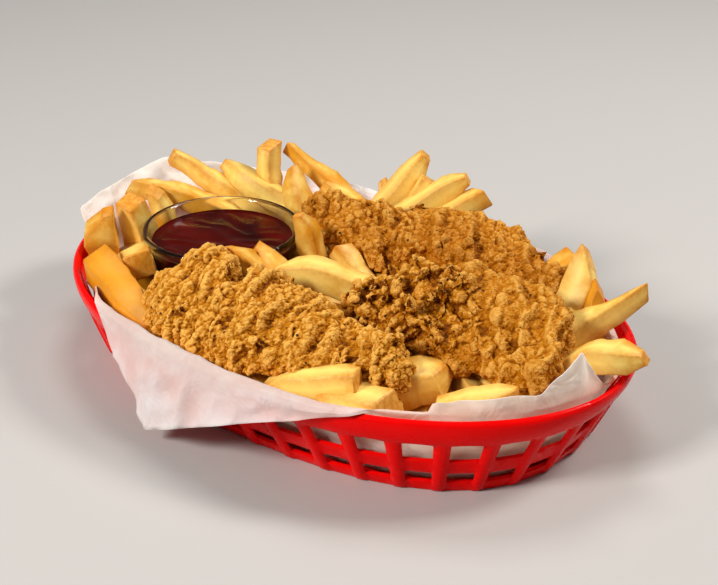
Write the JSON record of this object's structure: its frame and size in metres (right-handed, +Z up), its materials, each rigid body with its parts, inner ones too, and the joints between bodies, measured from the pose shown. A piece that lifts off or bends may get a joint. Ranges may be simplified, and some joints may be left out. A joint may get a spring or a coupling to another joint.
{
  "type": "basket of chicken tenders",
  "caption": "Breaded chicken tenders and thick fries in a paper-lined oval lattice plastic basket, with a small clear glass dish of dark dip standing among the fries.",
  "frame": {"origin": "centre of the basket's flat underside, on the surface that it stands on", "axes": "+X along the basket's long side towards the end without the dip, +Y across it to the back side, +Z up"},
  "size_m": [0.2856, 0.1992, 0.0677],
  "materials": {
    "red_plastic": "bright red glossy moulded plastic",
    "waxed_paper": "thin off-white waxed deli paper, slightly see-through",
    "clear_glass": "clear smooth glass",
    "dark_sauce": "dark red-brown glossy thick dip",
    "fried_potato": "golden fried potato with browner edges",
    "breading": "craggy golden-brown breading with dark pepper specks"
  },
  "bodies": {
    "root": {"basket": "red_plastic", "liner": "waxed_paper", "dip_dish": "clear_glass", "dip_sauce": "dark_sauce", "fries": "fried_potato", "tender_front_left": "breading", "tender_front_right": "breading", "tender_back": "breading"}
  },
  "joints": []
}
